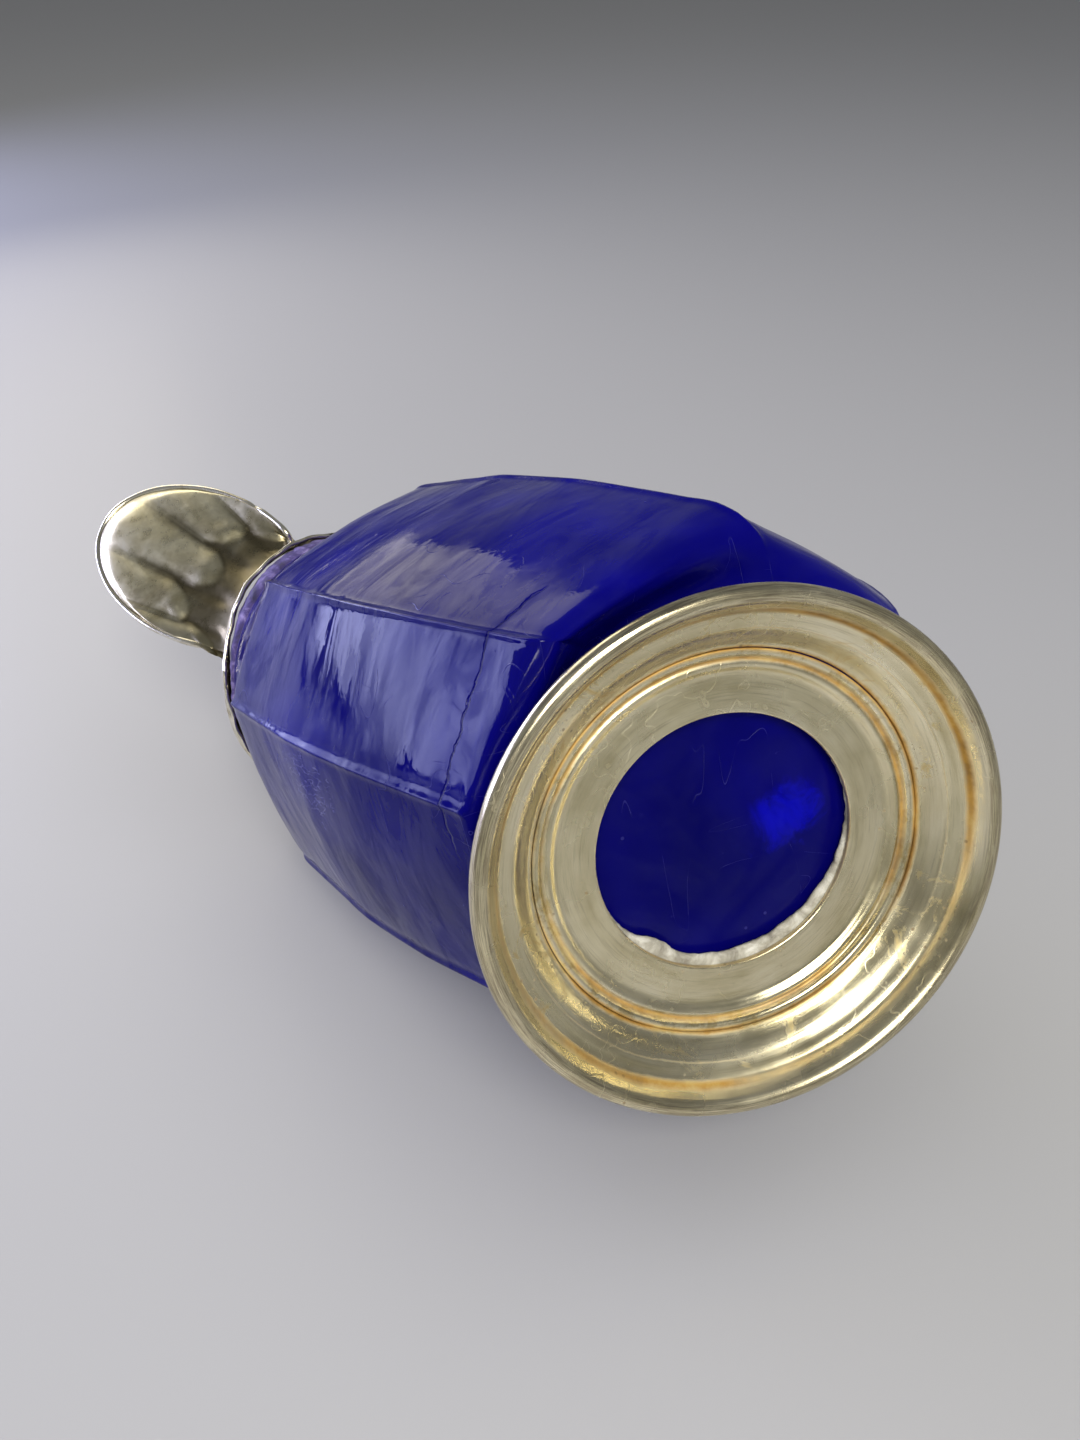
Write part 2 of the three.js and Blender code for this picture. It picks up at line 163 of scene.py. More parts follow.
# ---------------------------------------------------------------- node helper
class Nodes:
    def __init__(self, name):
        self.mat = bpy.data.materials.new(name)
        self.mat.use_nodes = True
        self.nt = self.mat.node_tree
        self.nt.nodes.clear()
        self.out = self.nt.nodes.new("ShaderNodeOutputMaterial")
        self.pos = self.nt.nodes.new("ShaderNodeTexCoord").outputs["Object"]

    def put(self, socket, value):
        if isinstance(value, bpy.types.NodeSocket):
            self.nt.links.new(value, socket)
        elif value is not None:
            socket.default_value = value

    def node(self, kind, **props):
        n = self.nt.nodes.new(kind)
        for k, v in props.items():
            setattr(n, k, v)
        return n

    def math(self, op, a, b=None, c=None, clamp=False):
        n = self.node("ShaderNodeMath", operation=op, use_clamp=clamp)
        for s, v in zip(n.inputs, (a, b, c)):
            self.put(s, v)
        return n.outputs[0]

    def vmath(self, op, a, b=None, out=0):
        n = self.node("ShaderNodeVectorMath", operation=op)
        self.put(n.inputs[0], a)
        if b is not None:
            self.put(n.inputs[3] if op == "SCALE" else n.inputs[1], b)
        return n.outputs[out]

    def xyz(self, v):
        n = self.node("ShaderNodeSeparateXYZ")
        self.put(n.inputs[0], v)
        return n.outputs

    def vec(self, x, y, z):
        n = self.node("ShaderNodeCombineXYZ")
        for s, v in zip(n.inputs, (x, y, z)):
            self.put(s, v)
        return n.outputs[0]

    def noise(self, scale, vec=None, detail=3.0, rough=0.55, warp=0.0):
        n = self.node("ShaderNodeTexNoise")
        self.put(n.inputs["Vector"], self.pos if vec is None else vec)
        n.inputs["Scale"].default_value = scale
        n.inputs["Detail"].default_value = detail
        n.inputs["Roughness"].default_value = rough
        n.inputs["Distortion"].default_value = warp
        return n.outputs["Fac"]

    def voronoi(self, scale, vec=None, feature="F1", out="Distance", rand=1.0):
        n = self.node("ShaderNodeTexVoronoi", feature=feature)
        self.put(n.inputs["Vector"], self.pos if vec is None else vec)
        n.inputs["Scale"].default_value = scale
        n.inputs["Randomness"].default_value = rand
        return n.outputs[out]

    def range(self, v, lo, hi, a=0.0, b=1.0, smooth=True):
        n = self.node("ShaderNodeMapRange", interpolation_type="SMOOTHSTEP" if smooth else "LINEAR", clamp=True)
        self.put(n.inputs[0], v)
        for k, x in zip((1, 2, 3, 4), (lo, hi, a, b)):
            n.inputs[k].default_value = x
        return n.outputs[0]

    def ramp(self, v, stops):
        n = self.node("ShaderNodeValToRGB")
        self.put(n.inputs[0], v)
        e = n.color_ramp.elements
        while len(e) > 1:
            e.remove(e[-1])
        e[0].position = stops[0][0]
        e[0].color = (*stops[0][1], 1)
        for p, c in stops[1:]:
            x = e.new(p)
            x.color = (*c, 1)
        return n.outputs[0]

    def mix(self, f, a, b):
        n = self.node("ShaderNodeMix", data_type="RGBA")
        self.put(n.inputs[0], f)
        for s, v in ((n.inputs[6], a), (n.inputs[7], b)):
            self.put(s, (*v, 1) if isinstance(v, tuple) and len(v) == 3 else v)
        return n.outputs[2]

    def bump(self, height, strength, distance, under=None):
        n = self.node("ShaderNodeBump")
        n.inputs["Strength"].default_value = strength
        n.inputs["Distance"].default_value = distance
        self.put(n.inputs["Height"], height)
        if under is not None:
            self.put(n.inputs["Normal"], under)
        return n.outputs[0]

    def band(self, v, centre, half):
        """1 at centre, 0 at half away from it."""
        return self.range(self.math("ABSOLUTE", self.math("SUBTRACT", v, centre)), 0.0, half, 1.0, 0.0)

    def surface(self, **inputs):
        b = self.node("ShaderNodeBsdfPrincipled")
        for k, v in inputs.items():
            self.put(b.inputs[k.replace("_", " ")], v)
        self.nt.links.new(b.outputs[0], self.out.inputs[0])
        return b


def cylinder_coords(n, centre):
    """Offset from the centre, and the radius and height from the foot's own axis."""
    p = n.vmath("SUBTRACT", n.pos, tuple(float(c) for c in centre))
    x, y, z = n.xyz(p)
    r = n.vmath("LENGTH", n.vec(x, y, 0.0), out=1)
    return p, r, z


# ---------------------------------------------------------------- materials
def plate_foot():
    """Worn silver plate of the spun foot: rings of tarnish, turning marks, specks."""
    n = Nodes("silver_plate_foot")
    p, r, z = cylinder_coords(n, ORIGIN)
    rmm = n.math("MULTIPLY", r, 1000.0)
    unit = n.vmath("NORMALIZE", n.vec(*(list(n.xyz(p))[:2] + [0.0])))
    # marks that run round: fine across the radius, long round it
    around = n.vmath("ADD", n.vmath("SCALE", unit, 0.9), n.vec(0.0, 0.0, n.math("MULTIPLY", rmm, 0.9)))
    turning = n.noise(3.2, around, 4.0, 0.65)
    wide = n.noise(1.1, n.vmath("ADD", n.vmath("SCALE", unit, 1.6), n.vec(0.0, 0.0, n.math("MULTIPLY", rmm, 0.25))), 3.0, 0.6)
    cloud = n.noise(55.0, None, 4.0, 0.6, 0.4)
    base = n.ramp(n.math("ADD", n.math("MULTIPLY", wide, 0.6), n.math("MULTIPLY", cloud, 0.4)), [(0.30, (0.50, 0.43, 0.24)), (0.47, (0.70, 0.63, 0.42)), (0.60, (0.81, 0.74, 0.53)), (0.78, (0.87, 0.82, 0.66))])
    base = n.mix(n.range(turning, 0.50, 0.70, 0.0, 0.45), base, (0.40, 0.35, 0.22))
    # the outer bead is greyer and browner, in streaks
    streak = n.noise(5.0, n.vmath("ADD", n.vmath("SCALE", unit, 1.2), n.vec(0.0, 0.0, n.math("MULTIPLY", rmm, 1.3))), 4.0, 0.7)
    bead = n.math("MULTIPLY", n.range(rmm, 46.4, 47.4), n.range(streak, 0.42, 0.60))
    base = n.mix(n.math("MULTIPLY", bead, 0.75), base, (0.27, 0.22, 0.15))
    # brown lines where the steps meet
    wob = n.noise(70.0, None, 5.0, 0.7)
    wob2 = n.noise(24.0, None, 2.0, 0.5)
    rw = n.math("ADD", rmm, n.math("MULTIPLY", n.math("SUBTRACT", wob, 0.5), 0.9))
    lines = None
    for c, h, amt in ((35.25, 0.8, 0.9), (37.35, 0.95, 1.0), (45.1, 0.85, 1.0), (24.9, 0.35, 0.5), (41.7, 0.25, 0.25)):
        b = n.math("MULTIPLY", n.band(rw, c, h), amt)
        lines = b if lines is None else n.math("MAXIMUM", lines, b)
    lines = n.math("MULTIPLY", lines, n.range(wob2, 0.38, 0.58, 0.15, 1.0))
    rust = n.ramp(wob, [(0.35, (0.22, 0.12, 0.03)), (0.52, (0.50, 0.28, 0.05)), (0.66, (0.62, 0.45, 0.16))])
    # pale scale and yellow stains beside the steps
    stain = n.math("MULTIPLY", n.range(n.noise(95.0, None, 5.0, 0.75, 1.0), 0.55, 0.70), n.math("MULTIPLY", n.range(rmm, 36.0, 39.0), n.range(rmm, 46.5, 44.0)))
    base = n.mix(n.math("MULTIPLY", stain, 0.65), base, (0.60, 0.43, 0.14))
    grain = n.math("MULTIPLY", n.range(n.noise(260.0, None, 4.0, 0.75), 0.48, 0.62), n.math("MULTIPLY", n.range(rmm, 33.9, 34.9), n.range(rmm, 38.4, 37.6)))
    base = n.mix(n.math("MULTIPLY", grain, 0.6), base, (0.42, 0.30, 0.09))
    base = n.mix(lines, base, rust)
    # dark specks
    dots = n.voronoi(520.0, None, rand=1.0)
    pick = n.range(n.noise(120.0, None, 2.0, 0.5), 0.58, 0.66)
    speck = n.math("MULTIPLY", n.range(dots, 0.10, 0.24, 1.0, 0.0), pick)
    base = n.mix(n.math("MULTIPLY", speck, 0.8), base, (0.16, 0.10, 0.04))
    hair = n.band(n.noise(150.0, n.vmath("ADD", n.pos, n.vec(3.1, 0.0, 0.0)), 2.0, 0.5), 0.5, 0.012)
    hair = n.math("MULTIPLY", hair, n.range(n.noise(35.0, None, 1.0, 0.5), 0.50, 0.62))
    rough = n.math("ADD", n.range(cloud, 0.3, 0.7, 0.17, 0.33, False), n.math("MULTIPLY", lines, 0.35))
    rough = n.math("ADD", rough, n.math("MULTIPLY", hair, 0.12))
    rough = n.math("ADD", rough, n.math("MULTIPLY", stain, 0.25))
    metal = n.math("SUBTRACT", 1.0, n.math("MULTIPLY", n.math("MAXIMUM", n.math("MULTIPLY", lines, 0.8), speck), 0.85))
    h = n.math("ADD", n.math("MULTIPLY", turning, 0.5), n.math("MULTIPLY", lines, 0.9))
    h = n.math("ADD", h, n.math("MULTIPLY", hair, -0.4))
    nrm = n.bump(h, 0.35, 0.00012)
    nrm = n.bump(n.noise(40.0, None, 2.0, 0.5), 0.25, 0.0008, nrm)
    n.surface(Base_Color=base, Metallic=metal, Roughness=rough, Normal=nrm)
    return n.mat


def plate_mouth():
    """Duller, warmer plate of the mouthpiece, with painted shade in the creases between its lobes and towards the
    collar.
    """
    n = Nodes("silver_plate_mouth")
    cloud = n.noise(60.0, None, 5.0, 0.65, 0.6)
    fine = n.noise(300.0, None, 4.0, 0.7)
    base = n.ramp(cloud, [(0.28, (0.58, 0.50, 0.29)), (0.45, (0.80, 0.72, 0.46)), (0.60, (0.93, 0.86, 0.61)), (0.80, (0.97, 0.93, 0.73))])
    att = n.node("ShaderNodeAttribute", attribute_name="relief", attribute_type="GEOMETRY").outputs["Fac"]
    # painted shade: where the relief is low, in the creases between the lobes, the plate is painted dark
    low = n.range(n.math("ADD", att, n.math("MULTIPLY", n.math("SUBTRACT", cloud, 0.5), 0.5)), -0.30, 0.60, 1.0, 0.0)
    base = n.mix(n.math("MULTIPLY", low, 0.92), base, (0.085, 0.070, 0.040))
    p = n.vmath("SUBTRACT", n.pos, tuple(float(c) for c in ORIGIN + AX0))
    along = n.vmath("DOT_PRODUCT", p, tuple(float(c) for c in AXD), out=1)
    # painted shade: the lip is painted darker towards the collar, away from its tip
    collar_shade = n.range(n.math("ADD", along, n.math("MULTIPLY", n.math("SUBTRACT", cloud, 0.5), 0.02)), 0.186, 0.158)
    base = n.mix(n.math("MULTIPLY", collar_shade, 0.70), base, (0.17, 0.142, 0.078))
    dirt = n.range(n.noise(45.0, None, 5.0, 0.6, 0.8), 0.52, 0.72)
    base = n.mix(n.math("MULTIPLY", dirt, 0.4), base, (0.24, 0.21, 0.14))
    rough = n.range(fine, 0.3, 0.7, 0.24, 0.38, False)
    nrm = n.bump(fine, 0.10, 0.0001)
    nrm = n.bump(n.noise(90.0, None, 2.0, 0.5), 0.2, 0.0004, nrm)
    n.surface(Base_Color=base, Metallic=1.0, Roughness=rough, Normal=nrm)
    return n.mat


def plate_bead():
    """Brighter rubbed metal of the bead wire and the turned edge."""
    n = Nodes("silver_plate_bead")
    cloud = n.noise(140.0, None, 4.0, 0.65)
    base = n.ramp(cloud, [(0.32, (0.48, 0.42, 0.30)), (0.48, (0.80, 0.75, 0.60)), (0.70, (0.93, 0.90, 0.80))])
    n.surface(Base_Color=base, Metallic=1.0, Roughness=n.range(cloud, 0.3, 0.7, 0.30, 0.18, False), Normal=n.bump(n.noise(400.0, None, 3.0, 0.6), 0.2, 0.0001))
    return n.mat


def cobalt():
    """Deep blue glass with soft waves, hairline scratches, small bubbles, a painted glow in the bottom and a painted
    reflection on the rim at the neck.
    """
    n = Nodes("cobalt_glass")
    p = n.vmath("SUBTRACT", n.pos, tuple(float(c) for c in ORIGIN + AX0))
    along = n.vmath("DOT_PRODUCT", p, tuple(float(c) for c in AXD), out=1)
    z = n.xyz(n.vmath("SUBTRACT", n.pos, tuple(float(c) for c in ORIGIN)))[2]
    # coordinate squeezed round the body, so that waves run across the panels
    stretch = n.vmath("ADD", n.vmath("SCALE", n.pos, 0.38), n.vmath("SCALE", tuple(float(c) for c in AXD), n.math("MULTIPLY", along, 0.62)))
    cloud = n.noise(22.0, None, 3.0, 0.55, 0.3)
    base = n.ramp(cloud, [(0.30, (0.0012, 0.0009, 0.105)), (0.55, (0.0018, 0.0012, 0.165)), (0.75, (0.0030, 0.0018, 0.260))])
    # hairline scratches: thin level lines of a drawn-out noise, broken into patches
    q1 = n.vmath("MULTIPLY", n.pos, (1.0, 0.22, 0.6))
    q2 = n.vmath("MULTIPLY", n.vmath("ADD", n.pos, n.vec(1.7, 0.3, 0.0)), (0.25, 1.0, 0.5))
    h1 = n.band(n.noise(110.0, q1, 1.0, 0.4, 0.3), 0.5, 0.0032)
    h2 = n.band(n.noise(170.0, q2, 1.0, 0.4, 0.3), 0.5, 0.0036)
    patch = n.range(n.noise(45.0, n.vmath("ADD", n.pos, n.vec(0.0, 5.0, 0.0)), 3.0, 0.6), 0.55, 0.66)
    patch2 = n.range(n.noise(60.0, n.vmath("ADD", n.pos, n.vec(0.0, 8.0, 0.0)), 3.0, 0.6), 0.50, 0.62)
    under = n.range(z, 0.0172, 0.0162)
    scratch = n.math("MAXIMUM", n.math("MULTIPLY", h1, n.math("MAXIMUM", patch, n.math("MULTIPLY", under, patch2))), n.math("MULTIPLY", h2, n.math("MAXIMUM", n.math("MULTIPLY", patch, patch2), n.math("MULTIPLY", under, patch))))
    dots = n.voronoi(330.0, None)
    bubbles = n.math("MULTIPLY", n.range(dots, 0.07, 0.15, 1.0, 0.0), n.range(n.noise(60.0, n.vmath("ADD", n.pos, n.vec(0.0, 0.0, 9.0)), 1.0, 0.5), 0.62, 0.70))
    marks = n.math("MAXIMUM", scratch, bubbles)
    base = n.mix(n.math("MULTIPLY", marks, 0.16), base, (0.13, 0.13, 0.45))
    spot = ORIGIN + on_axis(0.079) + 0.0535 * (math.cos(math.radians(-53)) * RID + math.sin(math.radians(-53)) * RID2)
    sd = n.vmath("LENGTH", n.vmath("SUBTRACT", n.pos, tuple(float(c) for c in spot)), out=1)
    sd = n.math("ADD", sd, n.math("MULTIPLY", n.math("SUBTRACT", n.noise(110.0, None, 2.0, 0.6), 0.5), 0.016))
    q3 = n.vmath("MULTIPLY", n.vmath("ADD", n.pos, n.vec(0.4, 0.9, 0.0)), (1.0, 1.0, 0.30))
    scuff = n.math("MULTIPLY", n.range(sd, 0.0125, 0.0060), n.band(n.noise(420.0, q3, 2.0, 0.6, 0.2), 0.5, 0.022))
    base = n.mix(n.math("MULTIPLY", scuff, 0.45), base, (0.34, 0.34, 0.60))
    facing = n.range(n.vmath("DOT_PRODUCT", n.vmath("SUBTRACT", p, n.vmath("SCALE", tuple(float(c) for c in AXD), along)), tuple(float(c) for c in (RID * math.cos(math.radians(-22)) + RID2 * math.sin(math.radians(-22)))), out=1), 0.043, 0.047)
    wavy = n.math("ADD", along, n.math("MULTIPLY", n.math("SUBTRACT", n.noise(150.0, None, 3.0, 0.6), 0.5), 0.0040))
    seam = n.math("MULTIPLY", n.band(wavy, 0.0265, 0.00045), facing)
    # painted glow: one place in the bottom is painted brighter blue, as light shining through the glass
    gp = n.vmath("SUBTRACT", n.pos, tuple(float(c) for c in ORIGIN + np.array([0.0136, -0.0016, 0.0156])))
    gd = n.vmath("LENGTH", n.vmath("MULTIPLY", gp, (1.0, 1.5, 1.0)), out=1)
    gd = n.math("ADD", gd, n.math("MULTIPLY", n.math("SUBTRACT", n.noise(130.0, None, 4.0, 0.65, 1.0), 0.5), 0.022))
    painted_glow = n.math("MULTIPLY", n.range(gd, 0.0105, 0.0015), under)
    base = n.mix(n.math("MULTIPLY", painted_glow, 0.75), base, (0.002, 0.002, 0.70))
    # painted reflection: the top of the glass at the neck is painted paler; it is also made rougher
    edge = n.math("MULTIPLY", n.range(along, 0.1438, 0.1452), n.range(n.noise(160.0, n.vmath("MULTIPLY", n.pos, (1.0, 1.0, 3.0)), 3.0, 0.6), 0.34, 0.56, 0.55, 1.0))
    base = n.mix(edge, base, (0.060, 0.045, 0.19))
    haze = n.range(n.noise(75.0, stretch, 5.0, 0.62, 1.2), 0.40, 0.60, 0.04, 0.20)
    rough = n.math("ADD", haze, n.math("MULTIPLY", marks, 0.3))
    rough = n.math("ADD", rough, n.math("MULTIPLY", edge, 0.3))
    rough = n.math("ADD", rough, n.math("MULTIPLY", scuff, 0.25))
    spec = n.range(n.noise(95.0, n.vmath("ADD", stretch, n.vec(2.0, 0.0, 0.0)), 5.0, 0.65, 1.4), 0.38, 0.60, 0.12, 0.66)
    # the shoulder and neck are duller than the panels
    spec = n.math("MULTIPLY", spec, n.range(along, 0.104, 0.120, 1.0, 0.25))
    nrm = n.bump(n.noise(60.0, stretch, 3.0, 0.5, 1.0), 0.35, 0.0011)
    nrm = n.bump(n.noise(190.0, None, 3.0, 0.6, 1.0), 0.2, 0.00022, nrm)
    nrm = n.bump(n.math("MULTIPLY", marks, 1.0), 0.5, 0.0001, nrm)
    nrm = n.bump(n.math("MULTIPLY", seam, -1.0), 0.9, 0.0006, nrm)
    n.surface(Base_Color=base, Metallic=0.0, Roughness=rough, IOR=1.22, Transmission_Weight=0.35, Specular_IOR_Level=spec, Normal=nrm)
    return n.mat


def plaster(name, lo, mid, hi):
    n = Nodes(name)
    c = n.noise(230.0, None, 5.0, 0.7, 0.5)
    base = n.ramp(c, [(0.30, lo), (0.50, mid), (0.70, hi)])
    nrm = n.bump(n.noise(520.0, None, 5.0, 0.7), 0.7, 0.0004)
    n.surface(Base_Color=base, Metallic=0.0, Roughness=n.range(c, 0.3, 0.7, 0.45, 0.85, False), Normal=nrm)
    return n.mat


MAT_FOOT = plate_foot()
MAT_MOUTH = plate_mouth()
MAT_BEAD = plate_bead()
MAT_GLASS = cobalt()
MAT_CEMENT = plaster("foot_plaster", (0.16, 0.14, 0.11), (0.42, 0.40, 0.34), (0.72, 0.71, 0.66))
# painted shade and painted bluish light: the neck plaster is coloured dark blue-violet
MAT_NECK_CEMENT = plaster("neck_plaster_painted_shade", (0.006, 0.004, 0.030), (0.045, 0.028, 0.150), (0.26, 0.21, 0.46))

# ---------------------------------------------------------------- glass body
S1 = 24.0
RHO_S = [24, 40, 60, 80, 95, 108, 118, 124.8]
RHO = [52.62, 53.91, 55.1, 55.16, 53.96, 52.71, 51.6, 45.58]
HEEL_W = np.array([0, 0.06, 0.14, 0.25, 0.4, 0.6, 0.8, 1.0])
HEEL_R = [33.0, 37.8, 41.9, 46.2, 49.2, 51.4, 52.4, 52.62]
BASE_AT = np.array([6.0, -5.0, 15.6]) / 1000
# ridges round the body, in degrees from RID
RIDGES = np.radians([-136.0, -93.0, -42.4, -8.0, 45.0, 88.0, 134.0, 179.0])


def heel_frame(w):
    b1 = on_axis(S1 / 1000)
    h00 = 2 * w**3 - 3 * w**2 + 1
    h10 = w**3 - 2 * w**2 + w
    h01 = -2 * w**3 + 3 * w**2
    h11 = w**3 - w**2
    c = BASE_AT * h00 + np.array([0, 0, 0.014]) * h10 + b1 * h01 + AXD * 0.014 * h11
    k = float(smooth(w))
    d = np.array([0, 0, 1.0]) * (1 - k) + AXD * k
    d /= np.linalg.norm(d)
    e1 = RID - d * (RID @ d)
    e1 /= np.linalg.norm(e1)
    return c, d, e1, np.cross(d, e1)


def ridge_angles(s):
    """Ridge angles at the distance s (mm) along the axis; the near ridge bows a little."""
    a = RIDGES.copy()
    a[3] += math.radians(-2.6 * math.sin(math.pi * min(1, max(0, (s - 10) / 118))) + 3.0 * max(0, 1 - s / 22.0))
    a[2] += math.radians(1.0 * max(0, (s - 70) / 55))
    return a


def sag_rows(P, w, r, less=0.0):
    """Over the low side the panels run on towards the foot before they turn in."""
    ang = section(w * 24)[0]
    a = np.degrees(ang)
    deep = float(np.interp(w, [0, 0.06, 0.14, 0.25, 0.4, 0.6, 0.8, 0.9, 1.0], [0, 0.2, 1.5, 4.6, 7.8, 9.8, 7.6, 4.6, 0])) / 1000
    near = smooth((a + 150) / 45) * smooth((62 - a) / 45) * float(smooth((r - 40) / 8)) * (0.45 if less else 1.0)
    lowest = 0.0060 + 0.8 * np.maximum(0, 0.0465 - np.hypot(P[:, 0] + 0.003, P[:, 1]))
    floor = np.maximum(0, (P[:, 2] - lowest - 1.4 * less / 1000) / AXD[2])
    d = deep * near
    h = 0.0015
    d = np.where(floor > d + h, d, np.where(floor < d - h, floor, 0.5 * (floor + d) - 0.25 * h - (floor - d) ** 2 / (4 * h)))
    P = P - np.maximum(d, 0)[:, None] * AXD
    if less:
        P[:, 2] = np.maximum(P[:, 2], 0.0195 - 1.2 * np.maximum(0, np.hypot(P[:, 0], P[:, 1]) - 0.042))
    return P


PER = 34
STEP_T = np.arange(PER) / PER
CLUSTER = STEP_T - 0.78 * np.sin(2 * np.pi * STEP_T) / (2 * np.pi)


def section(s):
    """Angles and relative radii of one row of the glass, the angles crowded at the ridges."""
    rg = ridge_angles(s)
    nxt = np.append(rg[1:], rg[0] + 2 * np.pi)
    ang, fac, near, off = [], [], [], []
    for lo, hi in zip(rg, nxt):
        a = lo + (hi - lo) * CLUSTER
        h = (hi - lo) / 2
        ang.append(a)
        fac.append((np.cos(h) / np.cos(a - (lo + hi) / 2)) ** 0.7)
        near.append(np.minimum(a - lo, hi - a))
        off.append(np.where(a - lo < hi - a, a - lo, -(hi - a)))
    return np.concatenate(ang), np.concatenate(fac), np.concatenate(near), np.concatenate(off)


def glass_row(frame_, r, share, s, bead=1.0, less=0.0):
    c, e1, e2 = frame_
    ang, fac, near, off = section(s)
    rr = r * (1 + (fac - 1) * share) - less
    # a fine raised line on each ridge, with a shallow hollow on one side of it
    x = off * r
    rr = rr + bead * share * (0.42 * np.exp(-((x / 0.75) ** 2)) - 0.18 * np.exp(-(((x - 1.7) / 1.1) ** 2)))
    return c + (rr / 1000)[:, None] * (np.cos(ang)[:, None] * e1 + np.sin(ang)[:, None] * e2)


def build_glass():
    rows = []
    kind = []
    for w in (0.0, 0.012, 0.03, 0.05, 0.08, 0.11, 0.14, 0.18, 0.22, 0.27, 0.33, 0.40, 0.46, 0.52, 0.58, 0.64, 0.70, 0.76, 0.82, 0.87, 0.92, 0.96):
        c, d, e1, e2 = heel_frame(w)
        r = float(curve(HEEL_W, HEEL_R, np.array([w]))[0])
        rows.append(sag_rows(glass_row((c, e1, e2), r, min(1.0, w * 2.0), w * 24, bead=min(1, w * 1.8)), w, r))
        kind.append(1)
    for s in np.concatenate([np.linspace(24, 118, 72), np.linspace(118.8, 123.4, 7)]):
        r = float(curve(RHO_S, RHO, np.array([s]))[0])
        rows.append(glass_row((on_axis(s / 1000), RID, RID2), r, 1.0, s))
        kind.append(1)
    # shoulder: a crisp edge, then the facets up to the neck
    sh_s = [124.3, 125.0, 125.9, 128, 131, 134, 137, 139.5, 141.5, 143.2, 144.6, 145.6, 146.2, 146.6, 146.75]
    sh_r = [46.15, 45.5, 44.8, 43.8, 42.4, 40.9, 39.5, 38.3, 37.3, 36.5, 35.9, 35.5, 35.1, 34.6, 33.9]
    for s, r in zip(sh_s, sh_r):
        share = float(np.clip((144 - s) / 18, 0, 1))
        rows.append(glass_row((mid(s / 1000, neck_share(s)), RID, RID2), r, share, s, bead=float(np.clip((140 - s) / 12, 0, 1))))
        kind.append(1)
    for s, r in ((146.75, 32.8), (146.5, 32.2), (145.6, 31.7), (143, 31.7), (139, 32.1), (134, 33.6), (129, 36.8), (124.5, 40.8), (120, 44.8)):
        share = float(np.clip((144 - s) / 18, 0, 1))
        rows.append(glass_row((mid(s / 1000, neck_share(s)), RID, RID2), r, share, s, bead=0))
        kind.append(0)
    for s in np.linspace(114, 24, 30):
        r = float(curve(RHO_S, RHO, np.array([s]))[0])
        rows.append(glass_row((on_axis(s / 1000), RID, RID2), r, 0.9, s, bead=0, less=3.7))
        kind.append(0)
    for w, r in ((0.9, 48.9), (0.8, 48.5), (0.68, 47.1), (0.56, 44.4), (0.47, 40.6), (0.42, 37.0), (0.395, 32.0), (0.38, 24.0), (0.37, 12.0), (0.37, 3.0)):
        c, d, e1, e2 = heel_frame(w)
        rows.append(sag_rows(glass_row((c, e1, e2), r, 0.5 * w, w * 24, bead=0), w, r, 3.6))
        kind.append(0)
    P = np.array(rows)
    # hand-worked unevenness
    m, n_ = P.shape[:2]
    nrm = np.cross(np.roll(P, -1, 1) - np.roll(P, 1, 1), np.gradient(P, axis=0))
    nrm /= np.maximum(np.linalg.norm(nrm, axis=2, keepdims=True), 1e-12)
    amp = np.array(kind, float)
    amp[:6] = 0
    w1 = lumps(P, 0.021, 3.7, 2)
    w2 = lumps(P, 0.0075, 11.2, 2)
    d = (0.15 * w1 + 0.03 * w2) / 1000 * amp[:, None]
    P = P + nrm * d[..., None] * np.sign((nrm * (P - P.mean(axis=1, keepdims=True))).sum(-1).mean())
    c0 = heel_frame(0.0)[0]
    c1 = rows[-1].mean(axis=0)
    return skin("carafe_glass", P, caps=(c0, c1), material=MAT_GLASS, node="glass_body")


build_glass()


# ---------------------------------------------------------------- foot
def spun(name, prof, material, node, seg=400, fine=6, wobble=0.0, seed=0.0):
    """Turned piece: the loop of points is rounded by a spline, then wobbles slightly as spun sheet does."""
    prof = np.array(prof, float)
    k = len(prof)
    pts = []
    for i in range(k):
        p0, p1, p2, p3 = prof[i - 1], prof[i], prof[(i + 1) % k], prof[(i + 2) % k]
        steps = max(1, min(fine, int(np.linalg.norm(p2 - p1) / 0.28)))
        for j in range(steps):
            t = j / steps
            pts.append(0.5 * ((2 * p1) + (-p0 + p2) * t + (2 * p0 - 5 * p1 + 4 * p2 - p3) * t * t + (-p0 + 3 * p1 - 3 * p2 + p3) * t**3))
    pts = np.array(pts)
    a = np.linspace(0, 2 * np.pi, seg, endpoint=False)
    P = np.stack([pts[:, 0:1] * np.cos(a), pts[:, 0:1] * np.sin(a), np.repeat(pts[:, 1:2], seg, 1)], -1) / 1000
    if wobble:
        dz = lumps(P[:1] * 0.6, 0.016, seed, 2)
        w = lumps(P, 0.02, seed + 5, 2)
        radial = np.stack([np.cos(a), np.sin(a), 0 * a], -1)
        keep = np.clip(P[..., 2] / 0.002, 0, 1)
        P = P + radial[None] * (w * wobble / 1000 * keep)[..., None]
        P[..., 2] += dz * wobble / 1000 * keep
    return skin(name, P, material=material, node=node)


spun(
    "foot_shell",
    [
        # underside, from the joint to the bead
        (37.55, 9.35), (38.2, 9.0), (39.2, 8.1), (40.3, 6.9), (41.4, 5.9), (42.6, 5.25), (43.7, 4.85), (44.6, 4.35),
        (45.0, 3.75), (45.25, 3.1), (45.7, 2.3), (46.2, 1.5), (46.75, 0.7), (47.5, 0.12), (48.4, 0.0), (49.2, 0.25),
        (49.75, 0.9), (50.0, 1.8), (49.85, 2.7), (49.3, 3.4), (48.4, 3.75), (47.4, 3.75),
        # upper side
        (46.6, 3.95), (46.1, 4.6), (45.3, 5.4), (44.0, 6.0), (42.9, 6.4), (41.9, 7.1), (40.9, 8.1), (39.8, 9.3), (38.7, 10.2), (37.55, 10.5),
    ],
    MAT_FOOT,
    "foot",
    wobble=0.10,
    seed=2.0,
)
